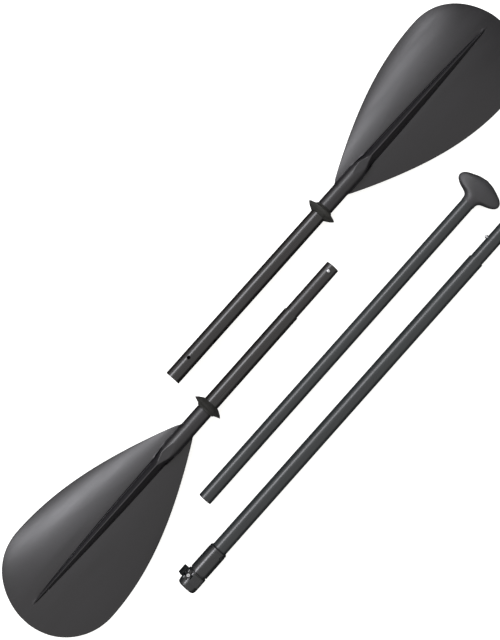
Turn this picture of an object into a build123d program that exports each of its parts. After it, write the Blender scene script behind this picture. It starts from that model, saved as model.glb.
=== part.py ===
from build123d import *
import math
import os

# A take-apart paddle that serves as a kayak paddle or a stand-up paddle, laid out as four loose
# sections on a floor: two blade halves, a T-handle section and a clamped extension tube.
# Millimetres. +X runs along the shafts, +Z is up and the floor is z = 0.

# Tubes: the outer tube and the smaller one that slides into it. The outer tube is bored a little
# wider where something slides than at its seats, where a spigot, plug or ferrule is glued in.
outer_radius = 14.5
outer_bore = 13.1
seat_bore = 12.9
inner_radius = 13.0
inner_bore = 11.6

# Blade, measured from its shoulder: x to the tip, y across, z up, all from the shaft's axis.
blade_length = 436.6
blade_small_half = 107.0
blade_large_half = 118.0
small_half_root = 18.2
large_half_root = 15.4
widest_at = 0.75
tip_shift = 7.5
web_root_drop = 4.0
tip_drop = 23.0
edge_drop = 21.5
edge_drop_skew = 1.3
web_bend = 0.6
rib_taper = 0.86
web_thickness = 4.4
edge_thickness = 2.2
neck_radius = 15.2
neck_length = 48.5
spigot_length = 55.0
leaf_start = 29.0
leaf_end = 75.0
rib_end = 408.0
rib_half_width = 12.0
rib_height = 12.0
leaf_end_height = 10.0

# Rubber drip rings.
ring_radius = 29.5
ring_bore = 14.55
ring_from_shoulder = 56.2
ring_cup_radius = 25.2
ring_heel_radius = 19.5
ring_hollow_radius = 18.8
ring_long_side = 9.6
ring_short_side = 7.4

# Joints between the tubes: a male ferrule with a sprung button, and holes for it.
ferrule_length = 112.0
ferrule_seat = 45.0
socket_depth = 118.0
button_radius = 3.3
button_hole_radius = 3.5
button_stands_out = 4.2
button_flange_radius = 4.6
button_flange_thickness = 1.2
clip_strip = 0.6
clip_width = 8.0
clip_length = 34.0
near_button = 46.0
far_button = 99.0
near_hole_angle = 8.0
far_hole_angle = -60.0

# Half A and half B.
half_a_shaft = 455.7
half_b_shaft = 279.0
float_plug_length = 30.0

# T-handle section, from the tube's plugged end.
handle_tube_length = 709.8
handle_plug_lip = 3.0
handle_plug_depth = 14.0
grip_half_width = 46.3
grip_half_thickness = 12.95
grip_neck_radius = 13.3
grip_length = 56.0
grip_widest = 33.5
grip_spigot = 40.0

# Extension section, from the clamp's mouth.
extension_tube_end = 776.7
extension_tube_start = 4.0
clamp_ring_radius = 18.15
clamp_ring_start = 2.0
clamp_ring_end = 33.0
clamp_neck_radius = 15.9
sleeve_radius = 17.6
sleeve_start = 35.5
sleeve_end = 89.0
sleeve_groove = 82.5
lug_angle = 68.0
lug_start = 12.8
lug_end = 30.2
lug_reach = 27.0
lug_thickness = 6.0
slit_half = 1.5
screw_radius = 2.5
screw_offset = 20.2
screw_head_radius = 3.2
barrel_radius = 3.0
barrel_height = 13.6
cam_radius = 5.2
cam_throw = 0.6
cheek_thickness = 4.6
lever_inner_radius = 19.0
lever_thickness = 3.6
lever_tip_angle = -50.0

# Where each section lies: the blade shoulder of a half, or the first end of the other two.
half_a_place = (254.55, 86.65, ring_radius)
half_b_place = (-254.55, 5.95, ring_radius)
handle_place = (-322.75, -97.5, inner_radius)
handle_turn = -0.23
extension_turn = -0.4
extension_dip = math.degrees(math.asin((clamp_ring_radius - outer_radius)
                                       / (extension_tube_end - clamp_ring_end + 1)))
extension_height = clamp_ring_radius + (clamp_ring_end - 1) * math.sin(math.radians(extension_dip))
extension_place = (-458.25, -173.75, extension_height + 0.02)


def rod(radius, start, end):
    return Solid.make_cylinder(radius, end - start, Plane((start, 0, 0), z_dir=(1, 0, 0)))


def tube(outer, inner, start, end):
    return rod(outer, start, end) - rod(inner, start - 1, end + 1)


def outward(angle):
    """Unit direction square to the shaft, measured from straight up towards +Y."""
    return Vector(0, math.sin(math.radians(angle)), math.cos(math.radians(angle)))


def radial_rod(radius, x, angle, start, end):
    base = Vector(x, 0, 0) + outward(angle) * start
    return Solid.make_cylinder(radius, end - start, Plane(base, z_dir=outward(angle)))


def turned(points):
    """Solid of revolution about X from (x, radius) points."""
    outline = Polyline(*[(x, 0, r) for x, r in points], close=True)
    return revolve(make_face(outline), Axis.X, 360)


# ---- blade ----

def half_width(t, widest, root):
    if t < widest_at:
        return root + (widest - root) * math.sin(math.pi / 2 * max(t, 0) / widest_at) ** 0.95
    past = (t - widest_at) / (1 - widest_at)
    return widest * math.sqrt(max(0.0, 1 - past ** 2.1))


def centre_shift(t):
    past = max(0.0, (t - widest_at) / (1 - widest_at))
    return tip_shift * past ** 4


def spine_height(t):
    return -web_root_drop - tip_drop * max(t, 0) ** 5


def edge_fall(t):
    return edge_drop * math.sin(math.pi * min(max(t, 0.02), 0.998) ** edge_drop_skew) ** 0.8


def edge_share(side):
    """How much of the edge drop is reached, from 0 on the rib to 1 at the edge."""
    return 0.8 * side ** 2 + 0.2 * side ** 6


def web_section(x):
    t = x / blade_length
    small = half_width(t, blade_small_half, small_half_root)
    large = half_width(t, blade_large_half, large_half_root)
    if x < 0:
        small = large = neck_radius - 1.5
    middle = -centre_shift(t)
    bend = web_bend
    across = [middle - large, middle - large * bend, 0.0, middle + small * bend, middle + small]
    if across[4] < 2:
        across[2] = middle
    fall = edge_fall(t)
    top = []
    bottom = []
    for side, y in zip([1, bend, 0, bend, 1], across):
        z = spine_height(t) - fall * edge_share(side)
        thick = web_thickness + (edge_thickness - web_thickness) * max(side, t)
        top.append((x, y, z + thick / 2))
        bottom.append((x, y, z - thick / 2))
    return Wire.make_polygon(top + bottom[::-1], close=True)


def web():
    fractions = [0, 0.03, 0.07, 0.12, 0.18, 0.25, 0.33, 0.42, 0.52, 0.62, 0.69, 0.75, 0.81, 0.86,
                 0.9, 0.93, 0.957, 0.977, 0.99, 0.998]
    stations = [-6.0] + [f * blade_length for f in fractions]
    return Solid.make_loft([web_section(x) for x in stations], ruled=True)


def rib_section(x, share):
    t = x / blade_length
    base = spine_height(t) - 1.0
    half = rib_half_width * share
    rise = 1.0 + web_thickness / 2 + rib_height * share
    points = [(x, -half, base), (x, -half, base + 1.5), (x, -1.2, base + rise),
              (x, 1.2, base + rise), (x, half, base + 1.5), (x, half, base)]
    return Wire.make_polygon(points, close=True)


def rib():
    start = 20.0
    steps = 8
    wires = []
    for i in range(steps + 1):
        x = start + (rib_end - start) * i / steps
        wires.append(rib_section(x, 1 - rib_taper * (i / steps) ** 2.2))
    return Solid.make_loft(wires, ruled=True)


def leaf_cutter(z_start, z_end, x_start, above):
    """Wedge that trims the neck to a sloping leaf-shaped facet."""
    far = 60.0 if above else -60.0
    slope = (z_end - z_start) / (leaf_end - x_start)
    beyond = 200.0
    corners = [(x_start, 0, z_start), (beyond, 0, z_start + slope * (beyond - x_start)),
               (beyond, 0, far), (x_start, 0, far)]
    face = make_face(Polyline(*corners, close=True))
    return extrude(face, amount=40, both=True)


def blade():
    neck = rod(neck_radius, -neck_length, leaf_end + 3)
    neck -= leaf_cutter(neck_radius, leaf_end_height, leaf_start, True)
    neck -= leaf_cutter(-neck_radius, -4.0, 0.0, False)
    spigot = rod(seat_bore, -neck_length - spigot_length, -neck_length)
    return web() + rib() + neck + spigot


# ---- pieces shared by the halves ----

def drip_ring():
    x = -ring_from_shoulder
    profile = [(x - ring_long_side, ring_bore), (x - ring_long_side, ring_bore + 1.6),
               (x - ring_long_side * 0.8, ring_heel_radius), (x - ring_long_side * 0.43, ring_cup_radius),
               (x - 0.8, ring_radius - 0.6), (x, ring_radius), (x + 0.6, ring_radius - 0.9),
               (x + ring_short_side * 0.6, ring_hollow_radius),
               (x + ring_short_side, ring_bore + 1.6), (x + ring_short_side, ring_bore)]
    return turned(profile)


def button_head(x, angle):
    """Domed locking pin with a flange that stops it inside the ferrule."""
    shoulder = inner_bore - button_flange_thickness
    pin = radial_rod(button_radius, x, angle, shoulder, inner_radius + button_stands_out)
    rim = pin.edges().sort_by(lambda e: (e.center() - Vector(x, 0, 0)).dot(outward(angle)))[-1]
    pin = pin.fillet(button_radius * 0.6, [rim])
    flange = radial_rod(button_flange_radius, x, angle, shoulder - 1.2, shoulder)
    stem = radial_rod(1.4, x, angle, shoulder - 2.4, shoulder)
    return pin + flange + stem


def button_clip(x, angle, towards_shaft):
    """V-shaped leaf spring inside the ferrule: one leaf under the button, one on the far wall."""
    top = inner_bore - button_flange_thickness - 2.4
    low = -math.sqrt(inner_bore ** 2 - (clip_width / 2) ** 2) + 0.05
    bend = x + towards_shaft * clip_length
    tip = x - towards_shaft * 7.0
    middle = (top + low) / 2
    outline = [(tip, top), (x + towards_shaft * 4, top), (bend, middle + 1.0), (bend, middle - 1.0),
               (x + towards_shaft * 4, low), (tip, low)]
    inner = [(tip, top - clip_strip), (x + towards_shaft * 4.1, top - clip_strip),
             (bend - towards_shaft * clip_strip, middle + 0.7),
             (bend - towards_shaft * clip_strip, middle - 0.7),
             (x + towards_shaft * 4.1, low + clip_strip), (tip, low + clip_strip)]
    face = make_face(Polyline(*[(a, 0, b) for a, b in outline + inner[::-1]], close=True))
    strip = extrude(face, amount=clip_width / 2, both=True)
    return strip.rotate(Axis.X, -angle)


def ferrule(shoulder, direction, button_x, angle):
    """Male tube, glued into the shaft's end and standing out of it by ferrule_length."""
    seat = sorted([shoulder - direction * ferrule_seat, shoulder])
    male = sorted([shoulder, shoulder + direction * ferrule_length])
    body = rod(seat_bore, seat[0], seat[1]) + rod(inner_radius, male[0], male[1])
    body -= rod(inner_bore, min(seat + male) - 1, max(seat + male) + 1)
    return body - radial_rod(button_radius + 0.15, button_x, angle, 5, inner_radius + 5)


# ---- half A: blade, shaft with the female end ----

def half_a():
    joint = -neck_length
    mouth = -half_a_shaft
    shaft = tube(outer_radius, seat_bore, mouth, joint) - rod(outer_bore, mouth - 1, mouth + socket_depth)
    shaft -= radial_rod(button_hole_radius, mouth + near_button, near_hole_angle, 8, 20)
    shaft -= radial_rod(button_hole_radius, mouth + far_button, far_hole_angle, 8, 20)
    plug_start = mouth + ferrule_length + 40
    return {
        "blade_a": blade(),
        "shaft_a": shaft,
        "drip_ring_a": drip_ring(),
        "float_plug_a": rod(seat_bore, plug_start, plug_start + float_plug_length),
    }


# ---- half B: mirrored blade, shaft with the male ferrule ----

def half_b():
    joint = -neck_length
    shoulder = -half_b_shaft
    button_x = shoulder - far_button
    plug_end = joint - spigot_length - 5
    pieces = {
        "blade_b": blade(),
        "shaft_b": tube(outer_radius, seat_bore, shoulder, joint),
        "drip_ring_b": drip_ring(),
        "float_plug_b": rod(seat_bore, plug_end - float_plug_length, plug_end),
        "ferrule_b": ferrule(shoulder, -1, button_x, 0),
        "snap_button_b": button_head(button_x, 0),
        "button_clip_b": button_clip(button_x, 0, 1),
    }
    return {name: solid.mirror(Plane.YZ) for name, solid in pieces.items()}


# ---- T-handle section ----

def grip():
    """T-shaped palm grip: rounded cross-sections that flare from the neck and close at the crown."""
    stations = [(0, grip_neck_radius), (6, 13.9), (11, 16.0), (14.5, 20.5), (17.5, 28.5),
                (21.5, 38.0), (27, 44.5), (grip_widest, grip_half_width), (40, 43.5), (45.5, 36.0),
                (50.5, 24.5), (54, 12.5), (grip_length, 4.0)]
    sections = []
    for x, half in stations:
        thick = grip_half_thickness
        if x > grip_widest:
            past = (x - grip_widest) / (grip_length - grip_widest)
            thick = 2.5 + (grip_half_thickness - 2.5) * math.sqrt(max(0.0, 1 - past ** 2.4))
        at = Plane((x, 0, 0), x_dir=(0, 1, 0), z_dir=(1, 0, 0))
        sections.append((at * Ellipse(half, min(thick, half + 0.01))).face().outer_wire())
    head = Solid.make_loft(sections, ruled=False)
    return head + rod(inner_bore, -grip_spigot, 1.0)


def handle_plug():
    lip = rod(inner_radius, 0, handle_plug_lip)
    rim = lip.edges().sort_by(Axis.X)[0]
    lip = lip.fillet(1.8, [rim])
    return lip + rod(inner_bore, handle_plug_lip, handle_plug_lip + handle_plug_depth)


def handle_section():
    return {
        "t_tube": tube(inner_radius, inner_bore, handle_plug_lip, handle_tube_length),
        "t_tube_plug": handle_plug(),
        "t_grip": grip().translate((handle_tube_length, 0, 0)),
    }


# ---- extension section: tube, ferrule and quick clamp ----

def lug_plane(x, reach, along):
    """Plane at a lug: z along the clamp screw, x radial, with along as the distance up the screw."""
    radial = outward(lug_angle)
    upward = outward(lug_angle - 90)
    origin = Vector(x, 0, 0) + radial * reach + upward * along
    return Plane(origin, x_dir=radial, z_dir=upward)


def lug_box(start, end, low, high, inner, reach):
    """Block between two x values, two heights along the screw and two distances from the axis."""
    plane = lug_plane((start + end) / 2, (inner + reach) / 2, (low + high) / 2)
    return plane * Box(reach - inner, end - start, high - low)


def screw_rod(radius, low, high):
    middle = (lug_start + lug_end) / 2
    return Solid.make_cylinder(radius, high - low, lug_plane(middle, screw_offset, low))


def collar_sleeve():
    profile = [(0, outer_bore), (0, 14.6), (1.2, clamp_neck_radius), (sleeve_start, clamp_neck_radius),
               (sleeve_start, sleeve_radius), (sleeve_groove, sleeve_radius),
               (sleeve_groove, sleeve_radius - 0.9), (sleeve_groove + 1.6, sleeve_radius - 0.9),
               (sleeve_groove + 1.6, sleeve_radius - 0.1), (sleeve_end - 2.6, sleeve_radius - 0.3),
               (sleeve_end, outer_radius + 0.8), (sleeve_end, outer_radius),
               (extension_tube_start, outer_radius), (extension_tube_start, outer_bore)]
    slit = lug_box(-1, sleeve_start - 2, -slit_half, slit_half, 10, 30)
    rivet = radial_rod(1.6, sleeve_groove - 3.6, -43, 10, 25)
    return turned(profile) - slit - rivet


def clamp_ring():
    profile = [(clamp_ring_start, clamp_neck_radius), (clamp_ring_start - 0.6, 16.6),
               (clamp_ring_start + 1.4, clamp_ring_radius - 0.7), (clamp_ring_start + 5, clamp_ring_radius),
               (clamp_ring_end - 1, clamp_ring_radius), (clamp_ring_end, clamp_ring_radius - 1),
               (clamp_ring_end, clamp_neck_radius)]
    top = slit_half + lug_thickness
    ring = turned(profile) + lug_box(lug_start, lug_end, -top, top, 12, lug_reach)
    ring -= rod(clamp_neck_radius, -5, 60)
    ring -= lug_box(-2, 60, -slit_half, slit_half, 10, 40)
    ring -= screw_rod(screw_radius + 0.15, -top - 1, top + 1)
    middle = (lug_start + lug_end) / 2
    pocket = lug_plane(middle, screw_offset, -top - 2.5)
    ring -= extrude(pocket * RegularPolygon(4.7, 6), amount=5.0)
    return ring


def clamp_screw():
    top = barrel_height + barrel_radius
    shank = screw_rod(screw_radius, -8.2, top + 0.2)
    head = screw_rod(screw_head_radius, top - 0.8, top + 2.4)
    socket = extrude(lug_plane((lug_start + lug_end) / 2, screw_offset, top + 1.0)
                     * RegularPolygon(1.5, 6), amount=3)
    return shank + head - socket


def clamp_nut():
    low = -slit_half - lug_thickness - 1.4
    nut = extrude(lug_plane((lug_start + lug_end) / 2, screw_offset, low) * RegularPolygon(4.55, 6), amount=3.8)
    return nut - screw_rod(screw_radius, -20, 0)


def barrel_plane():
    centre = lug_plane(0, screw_offset, barrel_height).origin
    return Plane(centre, x_dir=outward(lug_angle), z_dir=(1, 0, 0))


def lever_barrel():
    pin = Solid.make_cylinder(barrel_radius, lug_end - lug_start - 0.4,
                              Plane(barrel_plane().origin + Vector(lug_start + 0.2, 0, 0), z_dir=(1, 0, 0)))
    seat = screw_rod(screw_head_radius + 0.05, barrel_height + barrel_radius - 0.8, 40)
    return pin - screw_rod(screw_radius, -20, 40) - seat


def clamp_lever():
    hub = barrel_plane().origin
    down = outward(lug_angle - 90) * -cam_throw
    cam = Solid.make_cylinder(cam_radius, lug_end - lug_start,
                              Plane(hub + down + Vector(lug_start, 0, 0), z_dir=(1, 0, 0)))
    hub_angle = math.degrees(math.atan2(hub.Y, hub.Z))
    outer = lever_inner_radius + lever_thickness
    arm = tube(outer, lever_inner_radius, lug_start, lug_end)
    start = outward(hub_angle) * 60
    middle = outward((hub_angle + lever_tip_angle) / 2) * 60
    tip = outward(lever_tip_angle) * 60
    wedge = make_face(Polyline((0, 0, 0), (0, start.Y, start.Z), (0, middle.Y, middle.Z),
                               (0, tip.Y, tip.Z), close=True))
    arm &= extrude(wedge, amount=200, both=True)
    fork_gap = lug_box(lug_start + cheek_thickness, lug_end - cheek_thickness,
                       barrel_height - 9, barrel_height + 9, screw_offset - 8.2, screw_offset + 12)
    bore = Solid.make_cylinder(barrel_radius + 0.05, 60, Plane(hub - Vector(5, 0, 0), z_dir=(1, 0, 0)))
    keep_off = rod(lever_inner_radius - 0.3, -5, 60)
    return cam + arm - keep_off - fork_gap - bore


def extension_section():
    shaft = tube(outer_radius, seat_bore, extension_tube_start, extension_tube_end)
    shaft -= rod(outer_bore, extension_tube_start - 1, extension_tube_end - ferrule_seat - 8)
    shaft -= lug_box(0, sleeve_start - 2, -slit_half, slit_half, 10, 30)
    button_x = extension_tube_end + near_button
    rivet_x = sleeve_groove - 3.6
    shaft -= radial_rod(1.6, rivet_x, -43, 10, 25)
    rivet = radial_rod(1.6, rivet_x, -43, outer_bore + 0.1, sleeve_radius)
    rivet += radial_rod(2.8, rivet_x, -43, sleeve_radius - 0.05, sleeve_radius + 0.9)
    return {
        "extension_tube": shaft,
        "extension_ferrule": ferrule(extension_tube_end, 1, button_x, 90),
        "snap_button_ext": button_head(button_x, 90),
        "button_clip_ext": button_clip(button_x, 90, -1),
        "collar_sleeve": collar_sleeve() - radial_rod(2.8, rivet_x, -43, sleeve_radius - 0.05, 25),
        "collar_rivet": rivet,
        "clamp_ring": clamp_ring(),
        "clamp_screw": clamp_screw(),
        "clamp_nut": clamp_nut(),
        "lever_barrel": lever_barrel(),
        "clamp_lever": clamp_lever(),
    }


# ---- lay the sections out and write each piece ----

half_a_at = Location(half_a_place)
half_b_at = Location(half_b_place)
handle_at = Location(handle_place) * Location((0, 0, 0), (0, 0, handle_turn))
extension_at = Location(extension_place) * Location((0, 0, 0), (0, 0, extension_turn))
extension_at = extension_at * Location((0, 0, 0), (0, extension_dip, 0))

sections = [(half_a_at, half_a()), (half_b_at, half_b()), (handle_at, handle_section()),
            (extension_at, extension_section())]

if __name__ == "__main__":
    os.makedirs("parts", exist_ok=True)
    for place, pieces in sections:
        for name, solid in pieces.items():
            export_step(place * solid, "parts/" + name + ".step")
            print(name)
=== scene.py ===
import math

import bpy
from mathutils import Matrix, Vector


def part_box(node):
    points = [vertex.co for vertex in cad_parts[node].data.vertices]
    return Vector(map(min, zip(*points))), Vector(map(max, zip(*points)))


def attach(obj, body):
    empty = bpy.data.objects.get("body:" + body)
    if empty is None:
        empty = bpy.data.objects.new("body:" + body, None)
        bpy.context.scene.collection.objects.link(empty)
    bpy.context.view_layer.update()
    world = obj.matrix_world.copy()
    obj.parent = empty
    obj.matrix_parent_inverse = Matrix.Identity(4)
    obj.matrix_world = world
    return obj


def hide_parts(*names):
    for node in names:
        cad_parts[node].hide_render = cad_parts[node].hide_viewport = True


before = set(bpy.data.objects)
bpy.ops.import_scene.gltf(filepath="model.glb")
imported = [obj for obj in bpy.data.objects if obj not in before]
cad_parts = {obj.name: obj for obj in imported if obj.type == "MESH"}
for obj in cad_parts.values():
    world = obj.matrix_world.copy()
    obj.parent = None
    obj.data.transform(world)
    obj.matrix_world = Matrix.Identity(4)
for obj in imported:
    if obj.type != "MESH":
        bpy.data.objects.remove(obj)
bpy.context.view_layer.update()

mm = 0.001
noiseRange = (0.3, 0.7)  # most values of a noise texture lie between these


def linear(hexColour):
    # sRGB hex to the linear colour that the shaders take
    channels = [int(hexColour[i:i + 2], 16) / 255 for i in (1, 3, 5)]
    return tuple(c / 12.92 if c <= 0.04045 else ((c + 0.055) / 1.055) ** 2.4 for c in channels) + (1.0,)


def addNode(tree, kind, inputs=(), **settings):
    # one node with its settings; an input is a value, a socket, or a node whose first output is meant
    node = tree.nodes.new(kind)
    for name, value in settings.items():
        setattr(node, name, value)
    pairs = inputs.items() if isinstance(inputs, dict) else enumerate(inputs)
    for key, value in pairs:
        if isinstance(value, bpy.types.Node):
            value = value.outputs[0]
        if isinstance(value, bpy.types.NodeSocket):
            tree.links.new(value, node.inputs[key])
        elif value is not None:
            node.inputs[key].default_value = value
    return node


def newMaterial(name):
    material = bpy.data.materials.new(name)
    material.use_nodes = True
    material.node_tree.nodes.clear()
    return material, material.node_tree


def finishMaterial(tree, shader):
    addNode(tree, "ShaderNodeOutputMaterial", [shader])


def objectPoint(tree, scale):
    # object coordinates are metres; scale stretches them per axis
    place = addNode(tree, "ShaderNodeTexCoord")
    return addNode(tree, "ShaderNodeMapping", {"Vector": place.outputs["Object"], "Scale": scale})


def everyMm(size):
    # the scale at which one unit of a texture is this many millimetres on every axis
    return (1 / (size * mm),) * 3


bladeLook = {"base": "#0e0d0f", "worn": "#161518", "smoothest": 0.32, "roughest": 0.44, "grainMm": 0.9,
             "grainDepthMm": 0.035, "streakMm": 26.0, "streakLength": 0.22}


def mouldedNylon():
    # glass-filled nylon, injection moulded: satin charcoal skin with soft flow marks along the blade
    material, tree = newMaterial("glassFilledNylonMoulded")
    along = 1 / bladeLook["streakLength"]
    across = 1 / (bladeLook["streakMm"] * mm)
    flow = addNode(tree, "ShaderNodeTexNoise",
                   {"Vector": objectPoint(tree, (along, across, along)),
                    "Scale": 1.0, "Detail": 4.0, "Roughness": 0.6})
    grain = addNode(tree, "ShaderNodeTexNoise",
                    {"Vector": objectPoint(tree, everyMm(bladeLook["grainMm"])),
                     "Scale": 1.0, "Detail": 3.0, "Roughness": 0.65})
    colour = addNode(tree, "ShaderNodeMix",
                     {0: flow, 6: linear(bladeLook["base"]), 7: linear(bladeLook["worn"])},
                     data_type="RGBA")
    rough = addNode(tree, "ShaderNodeMapRange",
                    [flow, *noiseRange, bladeLook["smoothest"], bladeLook["roughest"]])
    bump = addNode(tree, "ShaderNodeBump",
                   {"Strength": 0.5, "Distance": bladeLook["grainDepthMm"] * mm, "Height": grain})
    shader = addNode(tree, "ShaderNodeBsdfPrincipled",
                     {"Base Color": colour.outputs[2], "Roughness": rough, "Normal": bump, "IOR": 1.53})
    finishMaterial(tree, shader)
    return material


anodisedLook = {"base": "#0f0e0e", "light": "#191716", "smoothest": 0.17, "roughest": 0.31,
                "drawLineMm": 1.1, "drawLengthMm": 60.0, "lineDepthMm": 0.02}
ferruleLook = {"base": "#0f0e0e", "light": "#191716", "smoothest": 0.27, "roughest": 0.41,
               "drawLineMm": 0.8, "drawLengthMm": 40.0, "lineDepthMm": 0.02}


def anodisedAluminium(name, look):
    # black anodised aluminium, drawn tube: dark dyed oxide over metal, with fine lines along the draw;
    # the ferrule has been ground to size and is duller
    material, tree = newMaterial(name)
    along = 1 / (look["drawLengthMm"] * mm)
    across = 1 / (look["drawLineMm"] * mm)
    lines = addNode(tree, "ShaderNodeTexNoise",
                    {"Vector": objectPoint(tree, (along, across, across)),
                     "Scale": 1.0, "Detail": 3.0, "Roughness": 0.6})
    colour = addNode(tree, "ShaderNodeMix",
                     {0: lines, 6: linear(look["base"]), 7: linear(look["light"])},
                     data_type="RGBA")
    rough = addNode(tree, "ShaderNodeMapRange",
                    [lines, *noiseRange, look["smoothest"], look["roughest"]])
    bump = addNode(tree, "ShaderNodeBump",
                   {"Strength": 0.4, "Distance": look["lineDepthMm"] * mm, "Height": lines})
    shader = addNode(tree, "ShaderNodeBsdfPrincipled",
                     {"Base Color": colour.outputs[2], "Roughness": rough, "Normal": bump, "IOR": 1.55})
    finishMaterial(tree, shader)
    return material


paintLook = {"base": "#1c1f20", "light": "#242829", "smoothest": 0.25, "roughest": 0.34,
             "peelMm": 2.2, "peelDepthMm": 0.03, "cloudScale": (9.0, 30.0, 30.0)}


def powderCoat():
    # polyester powder coat over aluminium, baked: even dark grey with a faint orange peel
    material, tree = newMaterial("greyPowderCoatBaked")
    peel = addNode(tree, "ShaderNodeTexNoise",
                   {"Vector": objectPoint(tree, everyMm(paintLook["peelMm"])), "Scale": 1.0, "Detail": 2.0})
    cloud = addNode(tree, "ShaderNodeTexNoise",
                    {"Vector": objectPoint(tree, paintLook["cloudScale"]), "Scale": 1.0})
    colour = addNode(tree, "ShaderNodeMix",
                     {0: cloud, 6: linear(paintLook["base"]), 7: linear(paintLook["light"])},
                     data_type="RGBA")
    rough = addNode(tree, "ShaderNodeMapRange",
                    [cloud, *noiseRange, paintLook["smoothest"], paintLook["roughest"]])
    bump = addNode(tree, "ShaderNodeBump",
                   {"Strength": 0.35, "Distance": paintLook["peelDepthMm"] * mm, "Height": peel})
    shader = addNode(tree, "ShaderNodeBsdfPrincipled",
                     {"Base Color": colour.outputs[2], "Roughness": rough, "Normal": bump, "IOR": 1.5})
    finishMaterial(tree, shader)
    return material


rubberLook = {"base": "#1d1d1b", "dust": "#2a2a27", "smoothest": 0.42, "roughest": 0.6,
              "bloomScale": 110.0, "grainMm": 0.5, "grainDepthMm": 0.03}


def mouldedRubber():
    # EPDM rubber, compression moulded: soft black with a slight bloom on the skin
    material, tree = newMaterial("epdmRubberMoulded")
    bloom = addNode(tree, "ShaderNodeTexNoise",
                    {"Vector": objectPoint(tree, (rubberLook["bloomScale"],) * 3),
                     "Scale": 1.0, "Detail": 4.0})
    grain = addNode(tree, "ShaderNodeTexNoise",
                    {"Vector": objectPoint(tree, everyMm(rubberLook["grainMm"])), "Scale": 1.0})
    colour = addNode(tree, "ShaderNodeMix",
                     {0: bloom, 6: linear(rubberLook["base"]), 7: linear(rubberLook["dust"])},
                     data_type="RGBA")
    rough = addNode(tree, "ShaderNodeMapRange",
                    [bloom, *noiseRange, rubberLook["smoothest"], rubberLook["roughest"]])
    bump = addNode(tree, "ShaderNodeBump",
                   {"Strength": 0.4, "Distance": rubberLook["grainDepthMm"] * mm, "Height": grain})
    shader = addNode(tree, "ShaderNodeBsdfPrincipled",
                     {"Base Color": colour.outputs[2], "Roughness": rough, "Normal": bump, "IOR": 1.52})
    finishMaterial(tree, shader)
    return material


fittingLook = {"base": "#131415", "light": "#1b1d1e", "smoothest": 0.2, "roughest": 0.31,
               "cloudScale": 45.0, "sparkMm": 0.45, "sparkDepthMm": 0.05}
gripLook = {"base": "#1e1e1f", "light": "#27272a", "smoothest": 0.45, "roughest": 0.56,
            "cloudScale": 45.0, "sparkMm": 0.6, "sparkDepthMm": 0.05}


def texturedPlastic(name, look):
    # nylon 6 with a spark-eroded mould texture: fine even pebble, worn glossy on the clamp and matte on
    # the grip
    material, tree = newMaterial(name)
    pebble = addNode(tree, "ShaderNodeTexVoronoi",
                     {"Vector": objectPoint(tree, everyMm(look["sparkMm"])), "Scale": 1.0})
    cloud = addNode(tree, "ShaderNodeTexNoise",
                    {"Vector": objectPoint(tree, (look["cloudScale"],) * 3), "Scale": 1.0, "Detail": 4.0})
    colour = addNode(tree, "ShaderNodeMix",
                     {0: cloud, 6: linear(look["base"]), 7: linear(look["light"])},
                     data_type="RGBA")
    rough = addNode(tree, "ShaderNodeMapRange",
                    [cloud, *noiseRange, look["smoothest"], look["roughest"]])
    bump = addNode(tree, "ShaderNodeBump",
                   {"Strength": 0.5, "Distance": look["sparkDepthMm"] * mm, "Height": pebble})
    shader = addNode(tree, "ShaderNodeBsdfPrincipled",
                     {"Base Color": colour.outputs[2], "Roughness": rough, "Normal": bump, "IOR": 1.53})
    finishMaterial(tree, shader)
    return material


steelLook = {"base": "#c4c5c7", "smoothest": 0.18, "roughest": 0.34, "swirlMm": 0.25, "swirlDepthMm": 0.01}
oxideLook = {"base": "#1d1d1f", "smoothest": 0.34, "roughest": 0.5, "swirlMm": 0.4, "swirlDepthMm": 0.01}


def tumbledSteel(name, look):
    # 304 stainless steel, turned and tumbled: bright neutral metal with a fine swirl in its gloss;
    # the barrel and nut have the same swirl under a black oxide
    material, tree = newMaterial(name)
    swirl = addNode(tree, "ShaderNodeTexNoise",
                    {"Vector": objectPoint(tree, everyMm(look["swirlMm"])), "Scale": 1.0, "Detail": 2.0})
    rough = addNode(tree, "ShaderNodeMapRange",
                    [swirl, *noiseRange, look["smoothest"], look["roughest"]])
    bump = addNode(tree, "ShaderNodeBump",
                   {"Strength": 0.25, "Distance": look["swirlDepthMm"] * mm, "Height": swirl})
    shader = addNode(tree, "ShaderNodeBsdfPrincipled",
                     {"Base Color": linear(look["base"]), "Roughness": rough, "Normal": bump,
                      "Metallic": 1.0})
    finishMaterial(tree, shader)
    return material


foamLook = {"base": "#d8d6cf", "cell": "#bdbab1", "roughness": 0.9, "cellMm": 0.8, "cellDepthMm": 0.1}


def cutFoam():
    # closed-cell polyethylene foam, cut: pale, dull, with open cells on the cut skin
    material, tree = newMaterial("polyethyleneFoamCut")
    cells = addNode(tree, "ShaderNodeTexVoronoi",
                    {"Vector": objectPoint(tree, everyMm(foamLook["cellMm"])), "Scale": 1.0})
    colour = addNode(tree, "ShaderNodeMix",
                     {0: cells, 6: linear(foamLook["base"]), 7: linear(foamLook["cell"])},
                     data_type="RGBA")
    bump = addNode(tree, "ShaderNodeBump",
                   {"Strength": 0.6, "Distance": foamLook["cellDepthMm"] * mm, "Height": cells})
    shader = addNode(tree, "ShaderNodeBsdfPrincipled",
                     {"Base Color": colour.outputs[2], "Roughness": foamLook["roughness"],
                      "Normal": bump})
    finishMaterial(tree, shader)
    return material


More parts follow.
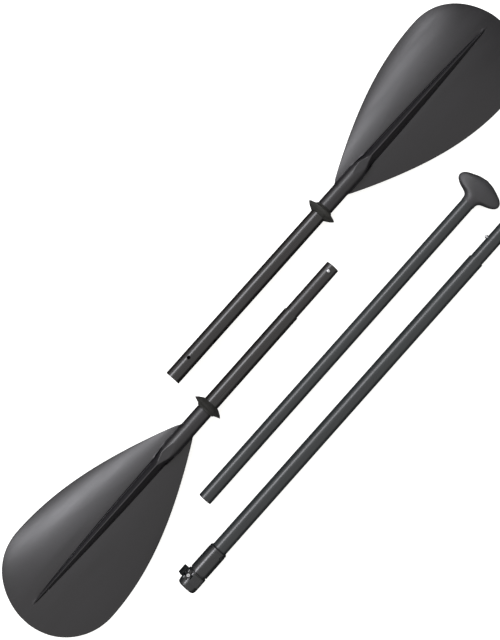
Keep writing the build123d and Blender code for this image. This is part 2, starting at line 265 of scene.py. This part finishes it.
bladeNylon = mouldedNylon()
blackTube = anodisedAluminium("blackAnodisedAluminiumDrawn", anodisedLook)
blackFerrule = anodisedAluminium("blackAnodisedAluminiumGround", ferruleLook)
greyTube = powderCoat()
ringRubber = mouldedRubber()
fittingNylon = texturedPlastic("nylonSparkTextured", fittingLook)
gripNylon = texturedPlastic("gripNylonSparkTextured", gripLook)
brightSteel = tumbledSteel("stainlessSteelTumbled", steelLook)
blackSteel = tumbledSteel("steelBlackOxideTumbled", oxideLook)
paleFoam = cutFoam()
print("materials made")

# Blade: x runs from the shoulder to the tip, y across, z up from the shaft's axis, all in millimetres.
# The names that end in Curve are exponents; widestAt is a share of the length.
bladeSizes = {
    # grid
    "rows": 250, "columns": 281, "ribShare": 0.36,
    # outline
    "bladeLength": 435.7, "smallHalf": 107.0, "largeHalf": 118.0, "smallRoot": 18.2, "largeRoot": 15.4,
    "widestAt": 0.75, "riseCurve": 0.95, "tipCurve": 2.1, "tipShift": 7.5, "tipShiftCurve": 4.0,
    # web: how far it drops, how that is shared out, and how thick it is
    "rootDrop": 4.0, "tipDrop": 23.0, "tipDropCurve": 5.0, "edgeDrop": 21.5, "edgeDropSkew": 1.3,
    "edgeDropCurve": 0.8, "edgeRoll": 0.2, "edgeRollCurve": 6.0,
    "webThickness": 4.4, "edgeThickness": 2.2, "edgeRound": 1.3,
    # neck and the leaf-shaped facet that ends it; neckSteep is how fast its sides fall away
    "neckRadius": 15.2, "neckLength": 48.5, "neckTaper": 0.26, "neckTaperEnd": 100.0, "neckSteep": -6.0,
    "openStart": -6.0, "openEnd": 4.0, "leafStart": 28.0, "leafMiddle": 55.0, "leafEnd": 78.0,
    "leafSlope": 0.105, "leafRise": 14.0, "heelSlope": 0.149,
    # rib
    "ribStart": 20.0, "ribEnd": 408.0, "ribHalf": 12.2, "ribHeight": 12.5, "ribThinning": -0.86,
    "ribCurve": 2.2, "ribNib": 16.0, "crestHalf": 1.0, "groove": 3.0,
}

# Each row makes one Math node, or one Map Range for SMOOTHSTEP: its name, its operation and its terms. A term
# is a number, a size or the latest row of that name.
bladeFormula = [
    # rows of points: a closed cap and a small chamfer at the neck's end, then closer rows near the tip
    ("row", "MULTIPLY_ADD", "gridX", "rowSteps", "halfSteps"), ("row", "ROUND", "row"),
    ("along", "SUBTRACT", "row", 2), ("along", "MAXIMUM", "along", 0),
    ("along", "DIVIDE", "along", "shapeSteps"), ("turn", "MULTIPLY", "along", math.pi / 2),
    ("sweep", "SINE", "turn"), ("reach", "ADD", "bladeLength", "neckLength"),
    ("x", "MULTIPLY", "sweep", "reach"), ("x", "SUBTRACT", "x", "neckLength"),
    ("atEnd", "LESS_THAN", "row", 1.5), ("x", "MULTIPLY_ADD", "atEnd", -0.6, "x"), ("x", "ADD", "x", 0.6),
    ("x", "MINIMUM", "x", "bladeLength"), ("girth", "MULTIPLY", "row", 0.967),
    ("girth", "MINIMUM", "girth", 1),
    # columns run once round the section: over the top and back underneath
    ("w", "ABSOLUTE", "gridY"), ("w", "SUBTRACT", 1, "w"), ("w", "ABSOLUTE", "w"),
    ("w", "SUBTRACT", 1, "w"), ("handSign", "SIGN", "gridY"), ("q", "MULTIPLY", "w", "handSign"),
    ("below", "ABSOLUTE", "gridY"), ("below", "GREATER_THAN", "below", 1.0001),
    # outline: rises to the widest place, then rounds off to the tip
    ("t", "MAXIMUM", "x", 0), ("t", "DIVIDE", "t", "bladeLength"), ("rise", "DIVIDE", "t", "widestAt"),
    ("rise", "MINIMUM", "rise", 1), ("rise", "MULTIPLY", "rise", math.pi / 2), ("rise", "SINE", "rise"),
    ("rise", "POWER", "rise", "riseCurve"), ("past", "SUBTRACT", "t", "widestAt"),
    ("past", "MAXIMUM", "past", 0), ("rest", "SUBTRACT", 1, "widestAt"), ("past", "DIVIDE", "past", "rest"),
    ("close", "POWER", "past", "tipCurve"), ("close", "SUBTRACT", 1, "close"),
    ("close", "MAXIMUM", "close", 0), ("close", "SQRT", "close"), ("onSmall", "GREATER_THAN", "gridY", 0),
    ("rootGap", "SUBTRACT", "smallRoot", "largeRoot"),
    ("root", "MULTIPLY_ADD", "onSmall", "rootGap", "largeRoot"),
    ("wideGap", "SUBTRACT", "smallHalf", "largeHalf"),
    ("wide", "MULTIPLY_ADD", "onSmall", "wideGap", "largeHalf"), ("wide", "SUBTRACT", "wide", "root"),
    ("half", "MULTIPLY_ADD", "wide", "rise", "root"), ("half", "MULTIPLY", "half", "close"),
    ("halfSafe", "MAXIMUM", "half", 0.01), ("lean", "POWER", "past", "tipShiftCurve"),
    ("lean", "MULTIPLY", "lean", "tipShift"),
    # half width of the rib, and of the neck before it: a fixed share of the columns lies on them
    ("ribRun", "SUBTRACT", "ribEnd", "ribStart"), ("share", "SUBTRACT", "x", "ribStart"),
    ("share", "DIVIDE", "share", "ribRun"), ("share", "MAXIMUM", "share", 0),
    ("share", "MINIMUM", "share", 1), ("share", "POWER", "share", "ribCurve"),
    ("share", "MULTIPLY_ADD", "share", "ribThinning", 1), ("ribWide", "MULTIPLY", "share", "ribHalf"),
    ("taper", "SMOOTHSTEP", "x", "leafStart", "neckTaperEnd"), ("taper", "MULTIPLY", "taper", "neckTaper"),
    ("taper", "SUBTRACT", 1, "taper"), ("neckWide", "MULTIPLY", "taper", "neckRadius"),
    ("pastLeaf", "SMOOTHSTEP", "x", "leafMiddle", "leafEnd"), ("strip", "SUBTRACT", "ribWide", "neckWide"),
    ("strip", "MULTIPLY_ADD", "strip", "pastLeaf", "neckWide"), ("room", "MULTIPLY", "half", 0.9),
    ("strip", "MINIMUM", "strip", "room"), ("span", "ABSOLUTE", "q"),
    ("inStrip", "DIVIDE", "span", "ribShare"), ("inStrip", "MINIMUM", "inStrip", 1),
    ("outStrip", "SUBTRACT", "span", "ribShare"), ("outRun", "SUBTRACT", 1, "ribShare"),
    ("outStrip", "DIVIDE", "outStrip", "outRun"), ("outStrip", "MAXIMUM", "outStrip", 0),
    ("outStrip", "MULTIPLY", "outStrip", math.pi / 2), ("outStrip", "SINE", "outStrip"),
    ("wing", "SUBTRACT", "half", "strip"), ("yBlade", "MULTIPLY", "inStrip", "strip"),
    ("yBlade", "MULTIPLY_ADD", "wing", "outStrip", "yBlade"), ("side", "DIVIDE", "yBlade", "halfSafe"),
    ("side", "MINIMUM", "side", 1), ("yBlade", "MULTIPLY", "yBlade", "handSign"),
    ("yBlade", "SUBTRACT", "yBlade", "lean"),
    # the neck's round section turns into the blade's flat one just before the shoulder
    ("open", "SMOOTHSTEP", "x", "openStart", "openEnd"), ("yNeck", "MULTIPLY", "q", math.pi / 2),
    ("yNeck", "SINE", "yNeck"), ("yNeck", "MULTIPLY", "yNeck", "neckRadius"),
    ("yGap", "SUBTRACT", "yBlade", "yNeck"), ("y", "MULTIPLY_ADD", "yGap", "open", "yNeck"),
    ("yOff", "ABSOLUTE", "y"),
    # web: drops towards the tip and the edges, and thins to a rounded edge
    ("middle", "POWER", "t", "tipDropCurve"), ("middle", "MULTIPLY", "middle", "tipDrop"),
    ("rootPart", "MULTIPLY", "open", "rootDrop"), ("middle", "ADD", "middle", "rootPart"),
    ("fall", "MAXIMUM", "t", 0.02), ("fall", "MINIMUM", "fall", 0.998),
    ("fall", "POWER", "fall", "edgeDropSkew"), ("fall", "MULTIPLY", "fall", math.pi),
    ("fall", "SINE", "fall"), ("fall", "POWER", "fall", "edgeDropCurve"),
    ("fall", "MULTIPLY", "fall", "edgeDrop"), ("roll", "POWER", "side", "edgeRollCurve"),
    ("roll", "MULTIPLY", "roll", "edgeRoll"), ("crownShare", "SUBTRACT", 1, "edgeRoll"),
    ("crown", "POWER", "side", 2), ("crown", "MULTIPLY_ADD", "crown", "crownShare", "roll"),
    ("crown", "MULTIPLY", "crown", "fall"), ("crown", "MULTIPLY", "crown", "open"),
    ("middle", "ADD", "middle", "crown"), ("middle", "MULTIPLY", "middle", -1),
    ("thinning", "MAXIMUM", "side", "t"), ("thinGap", "SUBTRACT", "edgeThickness", "webThickness"),
    ("thick", "MULTIPLY_ADD", "thinning", "thinGap", "webThickness"), ("thick", "MULTIPLY", "thick", 0.5),
    ("inset", "SUBTRACT", 1, "side"), ("inset", "MULTIPLY", "inset", "half"),
    ("fromTip", "SUBTRACT", "bladeLength", "x"), ("inset", "MINIMUM", "inset", "fromTip"),
    ("inset", "DIVIDE", "inset", "edgeRound"), ("inset", "MINIMUM", "inset", 1),
    ("inset", "SUBTRACT", 1, "inset"), ("inset", "POWER", "inset", 2), ("inset", "SUBTRACT", 1, "inset"),
    ("inset", "SQRT", "inset"), ("thick", "MULTIPLY", "thick", "inset"),
    ("thick", "MULTIPLY", "thick", "open"), ("webTop", "ADD", "middle", "thick"),
    ("webLow", "SUBTRACT", "middle", "thick"),
    # rib: a narrow crest between two grooves; towards the neck the crest widens into the leaf facet
    ("crest", "MULTIPLY", "share", "crestHalf"), ("leafPart", "SUBTRACT", "leafEnd", "x"),
    ("leafRun", "SUBTRACT", "leafEnd", "leafStart"), ("leafPart", "DIVIDE", "leafPart", "leafRun"),
    ("leafPart", "MAXIMUM", "leafPart", 0), ("leafPart", "MINIMUM", "leafPart", 1),
    ("leafTall", "MULTIPLY", "leafPart", "leafRise"), ("leafPart", "POWER", "leafPart", 0.8),
    ("leafWide", "MULTIPLY", "neckWide", 0.9), ("leafWide", "SUBTRACT", "leafWide", "crest"),
    ("crest", "MULTIPLY_ADD", "leafWide", "leafPart", "crest"), ("flankRun", "SUBTRACT", "strip", "crest"),
    ("flank", "SUBTRACT", "yOff", "crest"), ("flank", "DIVIDE", "flank", "flankRun"),
    ("flank", "MAXIMUM", "flank", 0), ("flank", "MINIMUM", "flank", 1),
    ("ribTall", "ADD", "ribHeight", "groove"), ("inner", "MULTIPLY_ADD", "flank", -1.25, 1),
    ("inner", "MULTIPLY", "inner", "ribTall"), ("inner", "SUBTRACT", "inner", "groove"),
    ("outer", "SUBTRACT", "flank", 1), ("outer", "MULTIPLY", "outer", 5),
    ("outer", "MULTIPLY", "outer", "groove"), ("ribTop", "SMOOTH_MAX", "inner", "outer", 1.0),
    ("nib", "SUBTRACT", "ribEnd", "ribNib"), ("nib", "SMOOTHSTEP", "x", "nib", "ribEnd"),
    ("nib", "SUBTRACT", 1, "nib"), ("ribTop", "MULTIPLY", "ribTop", "share"),
    ("ribTop", "MULTIPLY", "ribTop", "nib"), ("ribTop", "ADD", "ribTop", "webTop"),
    # neck: a round bar, tapered and cut by a sloping facet above and another below
    ("n", "DIVIDE", "yOff", "neckWide"), ("knee", "MULTIPLY_ADD", "open", -0.0136, 1),
    ("inside", "MINIMUM", "n", "knee"), ("inside", "POWER", "inside", 2),
    ("inside", "SUBTRACT", 1, "inside"), ("inside", "MAXIMUM", "inside", 0), ("inside", "SQRT", "inside"),
    ("outside", "SUBTRACT", "n", "knee"), ("outside", "MAXIMUM", "outside", 0),
    ("bar", "MULTIPLY_ADD", "outside", "neckSteep", "inside"), ("bar", "MULTIPLY", "bar", "neckRadius"),
    ("facet", "SUBTRACT", "x", "leafStart"), ("facet", "MAXIMUM", "facet", 0),
    ("facet", "MULTIPLY", "facet", "leafSlope"), ("facet", "SUBTRACT", "neckRadius", "facet"),
    ("barTop", "SMOOTH_MIN", "bar", "facet", 0.5), ("before", "SMOOTHSTEP", "x", 20, 34),
    ("before", "SUBTRACT", 1, "before"), ("flankTop", "MULTIPLY_ADD", "before", 40, "ribTop"),
    ("flankTop", "ADD", "flankTop", "leafTall"), ("barTop", "SMOOTH_MIN", "barTop", "flankTop", 0.5),
    ("heel", "MAXIMUM", "x", 0), ("heel", "MULTIPLY", "heel", "heelSlope"),
    ("heel", "SUBTRACT", "heel", "neckRadius"), ("barLow", "MULTIPLY", "bar", -1),
    ("barLow", "MAXIMUM", "barLow", "heel"), ("soft", "MULTIPLY", "open", 1.6),
    ("top", "SMOOTH_MAX", "webTop", "barTop", "soft"), ("ribGap", "SUBTRACT", "ribTop", "top"),
    ("top", "MULTIPLY_ADD", "ribGap", "pastLeaf", "top"), ("low", "SMOOTH_MIN", "webLow", "barLow", "soft"),
    ("gap", "SUBTRACT", "low", "top"), ("z", "MULTIPLY_ADD", "gap", "below", "top"),
    # the first rows close the neck's end
    ("y", "MULTIPLY", "y", "girth"), ("z", "MULTIPLY", "z", "girth"), ("x", "MULTIPLY", "x", mm),
    ("y", "MULTIPLY", "y", mm), ("z", "MULTIPLY", "z", mm),
]


def newTree(name, sizes):
    # a tree with one named input for each size and one for the material
    tree = bpy.data.node_groups.new(name, "GeometryNodeTree")
    tree.interface.new_socket("Geometry", in_out="OUTPUT", socket_type="NodeSocketGeometry")
    for key, value in sizes.items():
        kind = "NodeSocketInt" if isinstance(value, int) else "NodeSocketFloat"
        tree.interface.new_socket(key, in_out="INPUT", socket_type=kind)
    tree.interface.new_socket("material", in_out="INPUT", socket_type="NodeSocketMaterial")
    return tree, addNode(tree, "NodeGroupInput")


def finishTree(tree, geometry, given, smoothAngle=0.6):
    # round faces shade smooth, corners stay crisp
    angle = addNode(tree, "GeometryNodeInputMeshEdgeAngle")
    gentle = addNode(tree, "FunctionNodeCompare", [angle.outputs["Unsigned Angle"], smoothAngle],
                     operation="LESS_THAN")
    smooth = addNode(tree, "GeometryNodeSetShadeSmooth", [geometry, True, True], domain="FACE")
    crisp = addNode(tree, "GeometryNodeSetShadeSmooth", [smooth, True, gentle], domain="EDGE")
    real = addNode(tree, "GeometryNodeRealizeInstances", [crisp])
    finished = addNode(tree, "GeometryNodeSetMaterial",
                       {"Geometry": real, "Material": given.outputs["material"]})
    addNode(tree, "NodeGroupOutput", [finished])


def makeFromTree(name, tree, sizes, material, place, mirrored=False):
    # run the tree once and keep its result as a plain mesh, with its place in the mesh
    piece = bpy.data.objects.new(name, bpy.data.meshes.new(name))
    bpy.context.scene.collection.objects.link(piece)
    shape = piece.modifiers.new("shape", "NODES")
    shape.node_group = tree
    for item in tree.interface.items_tree:
        if item.in_out == "INPUT":
            value = material if item.name == "material" else sizes[item.name]
            shape[item.identifier] = value
    evaluated = piece.evaluated_get(bpy.context.evaluated_depsgraph_get())
    mesh = bpy.data.meshes.new_from_object(evaluated)
    piece.modifiers.remove(shape)
    piece.data = mesh
    mesh.name = name
    if mirrored:
        mesh.transform(Matrix.Scale(-1, 4, Vector((1, 0, 0))))
        mesh.flip_normals()
    mesh.transform(place)
    return piece


def bladeTree():
    tree, given = newTree("bladeShape", bladeSizes)
    rows, columns = given.outputs["rows"], given.outputs["columns"]
    grid = addNode(tree, "GeometryNodeMeshGrid", {"Size X": 1.0, "Size Y": 4.0, "Vertices X": rows,
                                                  "Vertices Y": columns})
    place = addNode(tree, "GeometryNodeInputPosition")
    split = addNode(tree, "ShaderNodeSeparateXYZ", [place])
    values = {socket.name: socket for socket in given.outputs if socket.name}
    values["gridX"], values["gridY"] = split.outputs["X"], split.outputs["Y"]
    values["rowSteps"] = addNode(tree, "ShaderNodeMath", [rows, 1.0], operation="SUBTRACT")
    values["halfSteps"] = addNode(tree, "ShaderNodeMath", [values["rowSteps"], 0.5], operation="MULTIPLY")
    values["shapeSteps"] = addNode(tree, "ShaderNodeMath", [values["rowSteps"], 2.0], operation="SUBTRACT")
    for name, operation, *terms in bladeFormula:
        terms = [values.get(term, term) for term in terms]
        if operation == "SMOOTHSTEP":
            values[name] = addNode(tree, "ShaderNodeMapRange", terms, interpolation_type="SMOOTHSTEP")
        else:
            values[name] = addNode(tree, "ShaderNodeMath", terms, operation=operation)
    point = addNode(tree, "ShaderNodeCombineXYZ", [values["x"], values["y"], values["z"]])
    moved = addNode(tree, "GeometryNodeSetPosition", {"Geometry": grid, "Position": point})
    closed = addNode(tree, "GeometryNodeMergeByDistance", {"Geometry": moved, "Distance": 0.01 * mm})
    finishTree(tree, closed, given)
    return tree


def makeBlade(name, tree, body, mirrored):
    # the shoulder lies where the neck ends, one neck length on from the end of the shaft's tube
    shaftLow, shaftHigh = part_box("shaft_" + name[-1])
    middle = (shaftLow + shaftHigh) / 2
    neck = bladeSizes["neckLength"] * mm
    x = shaftLow.x - neck if mirrored else shaftHigh.x + neck
    place = Matrix.Translation((x, middle.y, middle.z))
    piece = makeFromTree("bladeShell_" + name[-1], tree, bladeSizes, bladeNylon, place, mirrored)
    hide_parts(name)
    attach(piece, body)
    print(name, "made:", len(piece.data.polygons), "faces")


shapeOfBlade = bladeTree()
makeBlade("blade_a", shapeOfBlade, "half_a", False)
makeBlade("blade_b", shapeOfBlade, "half_b", True)

finishOf = {
    "shaft_a": blackTube, "shaft_b": blackTube, "ferrule_b": blackFerrule,
    "drip_ring_a": ringRubber, "drip_ring_b": ringRubber,
    "float_plug_a": paleFoam, "float_plug_b": paleFoam,
    "snap_button_b": brightSteel, "snap_button_ext": brightSteel,
    "button_clip_b": brightSteel, "button_clip_ext": brightSteel,
    "t_tube": greyTube, "extension_tube": greyTube, "extension_ferrule": greyTube,
    "t_tube_plug": fittingNylon, "t_grip": gripNylon,
    "collar_sleeve": fittingNylon, "clamp_ring": fittingNylon, "clamp_lever": fittingNylon,
    "collar_rivet": fittingNylon, "clamp_screw": brightSteel, "clamp_nut": blackSteel,
    "lever_barrel": blackSteel, "blade_a": bladeNylon, "blade_b": bladeNylon,
}
for nodeName, finish in finishOf.items():
    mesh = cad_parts[nodeName].data
    mesh.materials.clear()
    mesh.materials.append(finish)
print("finishes given to", len(finishOf), "nodes")


studio = {"floorSize": 14.0, "floorColour": "#c8c8c6", "floorGlow": 0.74, "glowColour": "#fffffd",
          "skyTop": 0.97, "skyBelow": 0.03, "skyRise": (-0.05, 0.3), "skyFarSide": 0.3,
          "skyFarRange": (0.35, 0.8), "skyTint": (1.0, 0.98, 0.97, 1.0),
          "panelTint": (0.985, 0.985, 1.04)}
# panels: brightness of the face, tilt from overhead towards +Y, distance, width, height and shift along X
panels = {"keyPanel": (6.4, 39.5, 2.6, 4.2, 0.9, 0.2), "spotPanel": (10.5, 37.0, 2.6, 0.7, 0.35, -0.85)}


def makeFloor():
    half = studio["floorSize"] / 2
    corners = [(-half, -half, 0), (half, -half, 0), (half, half, 0), (-half, half, 0)]
    mesh = bpy.data.meshes.new("floor")
    mesh.from_pydata(corners, [], [(0, 1, 2, 3)])
    floor = bpy.data.objects.new("floor", mesh)
    bpy.context.scene.collection.objects.link(floor)
    material, tree = newMaterial("floorPaper")
    shader = addNode(tree, "ShaderNodeBsdfPrincipled",
                     {"Base Color": linear(studio["floorColour"]), "Roughness": 0.95,
                      "Specular IOR Level": 0.1, "Emission Color": linear(studio["glowColour"]),
                      "Emission Strength": studio["floorGlow"]})
    finishMaterial(tree, shader)
    mesh.materials.append(material)
    floor.visible_glossy = False


def makePanel(name, radiance, tilt, distance, width, height, shift):
    # a soft panel that faces the middle of the floor; its power follows from how bright its face is
    tilt = math.radians(tilt)
    data = bpy.data.lights.new(name, "AREA")
    data.shape = "RECTANGLE"
    data.size = width
    data.size_y = height
    data.energy = radiance * math.pi * width * height
    data.color = studio["panelTint"]
    panel = bpy.data.objects.new(name, data)
    panel.location = (shift, math.sin(tilt) * distance, math.cos(tilt) * distance)
    panel.rotation_euler = (-tilt, 0, 0)
    bpy.context.scene.collection.objects.link(panel)


def makeSky():
    # even studio surround above, dark below the horizon and low on the +X side
    world = bpy.data.worlds.new("studioSurround")
    bpy.context.scene.world = world
    world.use_nodes = True
    tree = world.node_tree
    tree.nodes.clear()
    look = addNode(tree, "ShaderNodeTexCoord")
    split = addNode(tree, "ShaderNodeSeparateXYZ", [look.outputs["Generated"]])
    up = addNode(tree, "ShaderNodeMapRange",
                 [split.outputs["Z"], *studio["skyRise"], studio["skyBelow"], studio["skyTop"]])
    far = addNode(tree, "ShaderNodeMapRange",
                  [split.outputs["X"], *studio["skyFarRange"], 1.0, studio["skyFarSide"]])
    lit = addNode(tree, "ShaderNodeMath", [up, far], operation="MULTIPLY")
    # seen directly, the surround is as pale as the floor
    path = addNode(tree, "ShaderNodeLightPath")
    total = addNode(tree, "ShaderNodeMath", [lit, path.outputs["Is Camera Ray"]], operation="MAXIMUM")
    background = addNode(tree, "ShaderNodeBackground", {"Color": studio["skyTint"], "Strength": total})
    addNode(tree, "ShaderNodeOutputWorld", [background])


# The camera looks almost straight down, rolled so that the shafts run to the upper right.
viewer = {"place": (-0.19129, -0.05122, 2.15064), "turn": (5.051, -0.739, -48.436), "lens": 67.5,
          "sensor": 36.0, "farthest": 50.0}


def makeCamera():
    data = bpy.data.cameras.new("camera")
    data.lens = viewer["lens"]
    data.sensor_width = viewer["sensor"]
    data.clip_end = viewer["farthest"]
    camera = bpy.data.objects.new("camera", data)
    camera.location = viewer["place"]
    camera.rotation_euler = [math.radians(a) for a in viewer["turn"]]
    bpy.context.scene.collection.objects.link(camera)
    bpy.context.scene.camera = camera


makeFloor()
for name, facts in panels.items():
    makePanel(name, *facts)
makeSky()
makeCamera()
bpy.context.scene.view_settings.view_transform = "Standard"
print("floor, light and camera placed")
